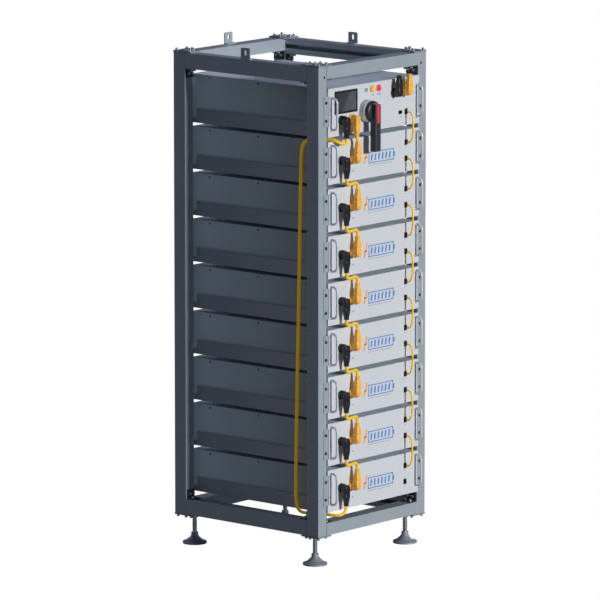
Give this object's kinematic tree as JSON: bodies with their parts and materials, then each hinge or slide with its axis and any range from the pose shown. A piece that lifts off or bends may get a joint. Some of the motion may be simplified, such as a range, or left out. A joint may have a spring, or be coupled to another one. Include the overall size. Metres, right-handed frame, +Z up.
{
  "type": "rack battery pack",
  "caption": "Open grey steel rack on levelling feet, holding stacked rack-mount battery modules joined by orange and black plugs, under a control box with display and rotary switch.",
  "frame": {"origin": "on the floor, midway between the four foot pads, under the middle of the frame's plan", "axes": "+X to the right as seen from the front panels, +Y from the front panels to the rear, +Z up"},
  "size_m": [0.53, 0.6639, 1.637],
  "materials": {
    "frame_paint": "powder coat, light grey",
    "black_steel": "black coated steel",
    "bright_steel": "bright zinc plate",
    "foot_plastic": "matt black",
    "case_paint": "powder coat, mid grey",
    "panel_paint": "powder coat, pale grey",
    "handle_steel": "polished",
    "cell_case": "wrapped in blue film",
    "circuit_board": "green solder mask",
    "black_plastic": "semi-gloss black",
    "orange_plastic": "semi-gloss amber orange",
    "cable_jacket": "satin yellow",
    "display_glass": "dark grey window in a black bezel",
    "grey_plastic": "satin grey",
    "switch_black": "semi-gloss black with a red stripe",
    "yellow_lens": "translucent yellow",
    "red_lens": "translucent red"
  },
  "bodies": {
    "rack": {"alarm_lamp": "red_lens", "battery_1_tray": "case_paint", "battery_2_tray": "case_paint", "battery_3_tray": "case_paint", "battery_4_tray": "case_paint", "battery_5_tray": "case_paint", "battery_6_tray": "case_paint", "battery_7_tray": "case_paint", "battery_8_tray": "case_paint", "battery_boards": "circuit_board", "battery_cells": "cell_case", "battery_lids": "case_paint", "battery_panels": "panel_paint", "beam_bottom_front": "frame_paint", "beam_bottom_left": "frame_paint", "beam_bottom_rear": "frame_paint", "beam_bottom_right": "frame_paint", "beam_top_front": "frame_paint", "beam_top_left": "frame_paint", "beam_top_rear": "frame_paint", "beam_top_right": "frame_paint", "bottom_corner_plates": "black_steel", "comm_jumpers": "cable_jacket", "comm_plugs": "black_plastic", "comm_ports": "black_plastic", "control_contactors": "black_plastic", "control_lid": "case_paint", "control_panel": "panel_paint", "control_tray": "case_paint", "corner_brackets": "black_steel", "display": "display_glass", "frame_bolts": "bright_steel", "guide_rails": "frame_paint", "lock_nuts": "bright_steel", "module_handles": "handle_steel", "module_screws": "bright_steel", "plugs_black": "black_plastic", "plugs_orange": "orange_plastic", "post_front_left": "frame_paint", "post_front_right": "frame_paint", "post_rear_left": "frame_paint", "post_rear_right": "frame_paint", "power_jumpers": "cable_jacket", "return_cable": "cable_jacket", "run_lamp": "yellow_lens", "sockets_black": "black_plastic", "sockets_orange": "orange_plastic", "switch_base": "grey_plastic", "top_corner_plates": "black_steel", "wall_brackets": "frame_paint"},
    "switch_handle": {"switch_handle": "switch_black"},
    "power_button": {"power_button": "grey_plastic"},
    "foot_front_left": {"foot_front_left_stud": "bright_steel", "foot_front_left_pad": "foot_plastic"},
    "foot_front_right": {"foot_front_right_stud": "bright_steel", "foot_front_right_pad": "foot_plastic"},
    "foot_rear_left": {"foot_rear_left_stud": "bright_steel", "foot_rear_left_pad": "foot_plastic"},
    "foot_rear_right": {"foot_rear_right_stud": "bright_steel", "foot_rear_right_pad": "foot_plastic"}
  },
  "joints": [
    {"name": "switch_turn", "type": "hinge", "parent": "rack", "child": "switch_handle", "pos_m": [-0.0385, -0.3304, 1.442], "axis": [0, -1, 0], "range_deg": [0, 90]},
    {"name": "button_press", "type": "slide", "parent": "rack", "child": "power_button", "axis": [0, 1, 0], "range_m": [0, 0.0025], "stiffness_N_per_m": 600, "springref_m": -0.001},
    {"name": "foot_front_left_level", "type": "slide", "parent": "rack", "child": "foot_front_left", "axis": [0, 0, 1], "range_m": [-0.012, 0.012]},
    {"name": "foot_front_right_level", "type": "slide", "parent": "rack", "child": "foot_front_right", "axis": [0, 0, 1], "range_m": [-0.012, 0.012]},
    {"name": "foot_rear_left_level", "type": "slide", "parent": "rack", "child": "foot_rear_left", "axis": [0, 0, 1], "range_m": [-0.012, 0.012]},
    {"name": "foot_rear_right_level", "type": "slide", "parent": "rack", "child": "foot_rear_right", "axis": [0, 0, 1], "range_m": [-0.012, 0.012]}
  ]
}
